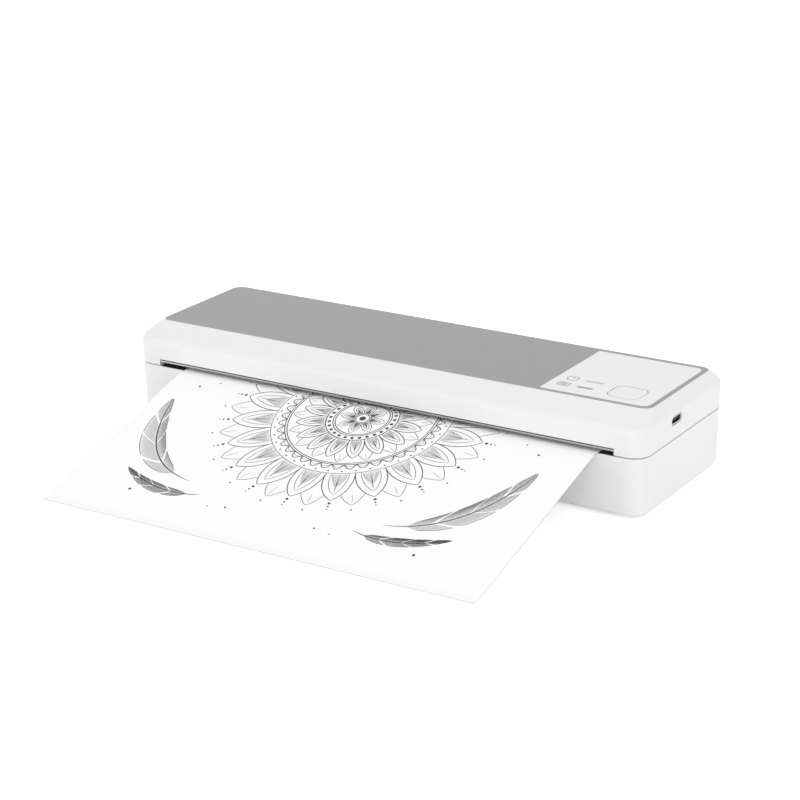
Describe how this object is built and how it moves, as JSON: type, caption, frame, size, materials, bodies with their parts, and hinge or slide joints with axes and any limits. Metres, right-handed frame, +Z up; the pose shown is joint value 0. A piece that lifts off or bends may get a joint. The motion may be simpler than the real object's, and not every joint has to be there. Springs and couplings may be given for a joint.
{
  "type": "thermal stencil copier",
  "caption": "Long, low stencil copier with a hinged cover, a driven roller under a sprung thermal head, and a printed sheet leaving its front slot.",
  "frame": {"origin": "on the table, under the middle of the casing's footprint", "axes": "+X along the length to the right as seen from the front, +Y to the rear, +Z up"},
  "size_m": [0.2576, 0.1834, 0.0446],
  "materials": {
    "white_plastic": "fine satin moulded",
    "grey_inlay": "satin",
    "panel_plastic": "smooth",
    "clear_lens": "frosted",
    "grey_plastic": "moulded",
    "black_plastic": "moulded",
    "black_rubber": "matt",
    "roller_rubber": "ground",
    "zinc_screw": "zinc plated",
    "zinc_steel": "zinc plated sheet",
    "turned_steel": "turned",
    "spring_steel": "oiled",
    "tear_steel": "stamped bright",
    "nickel_magnet": "nickel plated",
    "anodised_aluminium": "anodised",
    "head_glaze": "glazed",
    "bush_plastic": "acetal",
    "gear_plastic": "acetal",
    "brass_pinion": "hobbed",
    "cell_wrap": "shrunk film",
    "circuit_board": "solder mask",
    "ribbon_film": "polyester film",
    "black_lead": "flexible",
    "red_lead": "flexible",
    "sheet_paper": "smooth printed"
  },
  "bodies": {
    "base": {"base_shell": "white_plastic", "rubber_feet": "black_rubber", "case_screws": "zinc_screw", "paper_deck": "grey_plastic", "strike_plates": "zinc_steel", "paper_sensor": "black_plastic", "side_frame_left": "zinc_steel", "side_frame_right": "zinc_steel", "frame_screws": "zinc_screw", "platen_bushes": "bush_plastic", "idler_axle": "turned_steel", "idler_clip": "spring_steel", "motor_body": "zinc_steel", "motor_screws": "zinc_screw", "battery_cells": "cell_wrap", "battery_holder": "black_plastic", "junction_board": "circuit_board", "motor_lead": "black_lead", "battery_lead": "red_lead", "main_ribbon": "ribbon_film", "hinge_pins": "turned_steel"},
    "cover": {"top_cover": "white_plastic", "top_inlay": "grey_inlay", "control_panel": "panel_plastic", "indicator_lenses": "clear_lens", "tear_bar": "tear_steel", "tear_screws": "zinc_screw", "upper_guide": "grey_plastic", "guide_screws": "zinc_screw", "cover_magnets": "nickel_magnet", "head_pivot_rod": "turned_steel", "head_springs": "spring_steel", "head_ribbon": "ribbon_film", "main_board": "circuit_board", "board_components": "black_plastic", "board_screws": "zinc_screw", "usb_socket": "tear_steel", "tact_switch": "black_plastic"},
    "print_head": {"head_heatsink": "anodised_aluminium", "head_ceramic": "head_glaze"},
    "power_button": {"power_button": "panel_plastic", "switch_plunger": "black_plastic"},
    "platen": {"platen_shaft": "turned_steel", "platen_roller": "roller_rubber", "platen_clips": "spring_steel", "platen_gear": "gear_plastic"},
    "idler": {"idler_gear": "gear_plastic"},
    "motor_rotor": {"motor_shaft": "turned_steel", "motor_pinion": "brass_pinion"},
    "sheet": {"paper_sheet": "sheet_paper"}
  },
  "joints": [
    {"name": "cover_hinge", "type": "hinge", "parent": "base", "child": "cover", "pos_m": [0, 0.03682, 0.03105], "axis": [-1, 0, 0], "range_deg": [0, 85], "deforming": ["main_ribbon"]},
    {"name": "head_lift", "type": "hinge", "parent": "cover", "child": "print_head", "pos_m": [0, -0.009, 0.0302], "axis": [-1, 0, 0], "range_deg": [0, 1.5], "stiffness_Nm_per_rad": 0.55, "springref_deg": -12.61, "deforming": ["head_springs", "head_ribbon"]},
    {"name": "power_press", "type": "slide", "parent": "cover", "child": "power_button", "axis": [0, 0, -1], "range_m": [0, 0.0005], "stiffness_N_per_m": 600},
    {"name": "platen_spin", "type": "hinge", "parent": "base", "child": "platen", "pos_m": [0, -0.0225, 0.02035], "axis": [1, 0, 0], "continuous": true},
    {"name": "idler_spin", "type": "hinge", "parent": "base", "child": "idler", "pos_m": [0, -0.0099, 0.01551], "axis": [1, 0, 0], "continuous": true},
    {"name": "motor_spin", "type": "hinge", "parent": "base", "child": "motor_rotor", "pos_m": [0, 0.00086, 0.01322], "axis": [1, 0, 0], "continuous": true},
    {"name": "sheet_feed", "type": "slide", "parent": "base", "child": "sheet", "axis": [0, -1, 0], "range_m": [0, 0.022]}
  ],
  "couplings": [
    {"joint": "idler_spin", "follows": "platen_spin", "ratio": -0.8},
    {"joint": "motor_spin", "follows": "platen_spin", "ratio": 1.7143}
  ]
}
